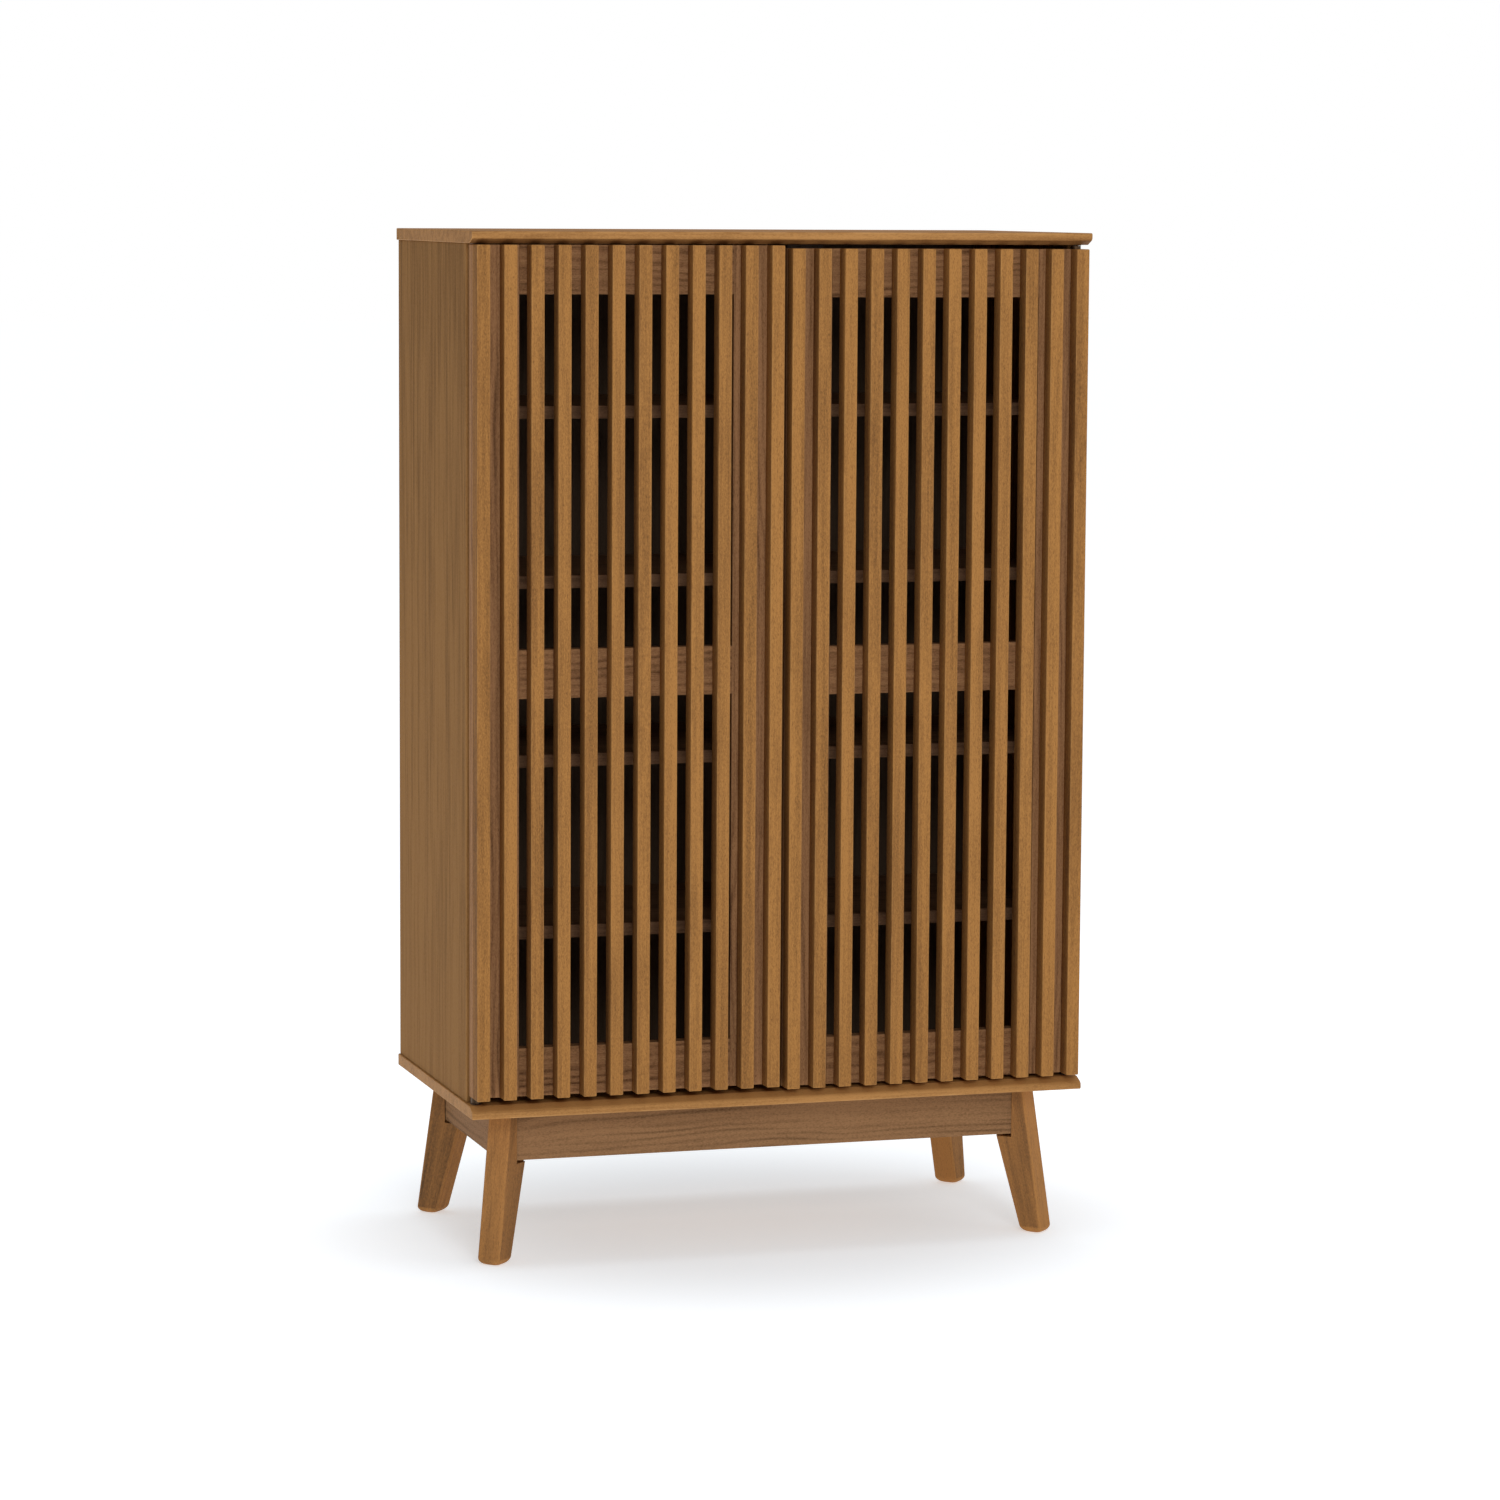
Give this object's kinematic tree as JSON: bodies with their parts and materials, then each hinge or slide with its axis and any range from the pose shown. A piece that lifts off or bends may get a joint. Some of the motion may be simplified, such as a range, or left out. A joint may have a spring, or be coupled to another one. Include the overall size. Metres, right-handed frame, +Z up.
{
  "type": "shoe cabinet",
  "caption": "Tall wooden shoe cabinet with slatted double doors, open shelves inside, and splayed tapered legs under an apron frame.",
  "frame": {"origin": "on the floor, midway across the width and midway between the slat fronts and the back", "axes": "+X along the width to the right, +Y from the front to the back, +Z up; the doors face -Y"},
  "size_m": [0.75, 0.38, 1.2],
  "materials": {
    "case_wood": "satin oiled",
    "side_wood": "satin oiled",
    "back_board": "satin",
    "shelf_wood": "satin",
    "apron_wood": "satin oiled",
    "leg_wood": "satin oiled",
    "block_wood": "raw",
    "frame_wood": "satin oiled",
    "slat_wood": "satin oiled",
    "steel": "satin",
    "bronzed_steel": "satin",
    "brown_nylon": "matte"
  },
  "bodies": {
    "carcass": {"top_panel": "case_wood", "bottom_panel": "case_wood", "side_panel_left": "side_wood", "side_panel_right": "side_wood", "back_panel": "back_board", "shelf_1": "shelf_wood", "shelf_2": "shelf_wood", "shelf_3": "shelf_wood", "shelf_4": "shelf_wood", "shelf_pins": "steel", "case_dowels": "block_wood", "apron_front": "apron_wood", "apron_back": "apron_wood", "apron_left": "apron_wood", "apron_right": "apron_wood", "leg_front_left": "leg_wood", "leg_front_right": "leg_wood", "leg_back_left": "leg_wood", "leg_back_right": "leg_wood", "corner_blocks": "block_wood", "base_fasteners": "steel", "pivot_bushes": "brown_nylon", "magnet_catches": "brown_nylon"},
    "door_left": {"door_left_stile_outer": "frame_wood", "door_left_stile_inner": "frame_wood", "door_left_rail_top": "frame_wood", "door_left_rail_middle": "frame_wood", "door_left_rail_bottom": "frame_wood", "door_left_slat_1": "slat_wood", "door_left_slat_2": "slat_wood", "door_left_slat_3": "slat_wood", "door_left_slat_4": "slat_wood", "door_left_slat_5": "slat_wood", "door_left_slat_6": "slat_wood", "door_left_slat_7": "slat_wood", "door_left_slat_8": "slat_wood", "door_left_slat_9": "slat_wood", "door_left_slat_10": "slat_wood", "door_left_slat_11": "slat_wood", "door_left_slat_12": "slat_wood", "door_left_hardware": "bronzed_steel"},
    "door_right": {"door_right_stile_outer": "frame_wood", "door_right_stile_inner": "frame_wood", "door_right_rail_top": "frame_wood", "door_right_rail_middle": "frame_wood", "door_right_rail_bottom": "frame_wood", "door_right_slat_1": "slat_wood", "door_right_slat_2": "slat_wood", "door_right_slat_3": "slat_wood", "door_right_slat_4": "slat_wood", "door_right_slat_5": "slat_wood", "door_right_slat_6": "slat_wood", "door_right_slat_7": "slat_wood", "door_right_slat_8": "slat_wood", "door_right_slat_9": "slat_wood", "door_right_slat_10": "slat_wood", "door_right_slat_11": "slat_wood", "door_right_slat_12": "slat_wood", "door_right_hardware": "bronzed_steel"}
  },
  "joints": [
    {"name": "door_left_hinge", "type": "hinge", "parent": "carcass", "child": "door_left", "pos_m": [-0.364, -0.159, 0.69], "axis": [0, 0, -1], "range_deg": [0, 105]},
    {"name": "door_right_hinge", "type": "hinge", "parent": "carcass", "child": "door_right", "pos_m": [0.364, -0.159, 0.69], "axis": [0, 0, 1], "range_deg": [0, 105]}
  ]
}
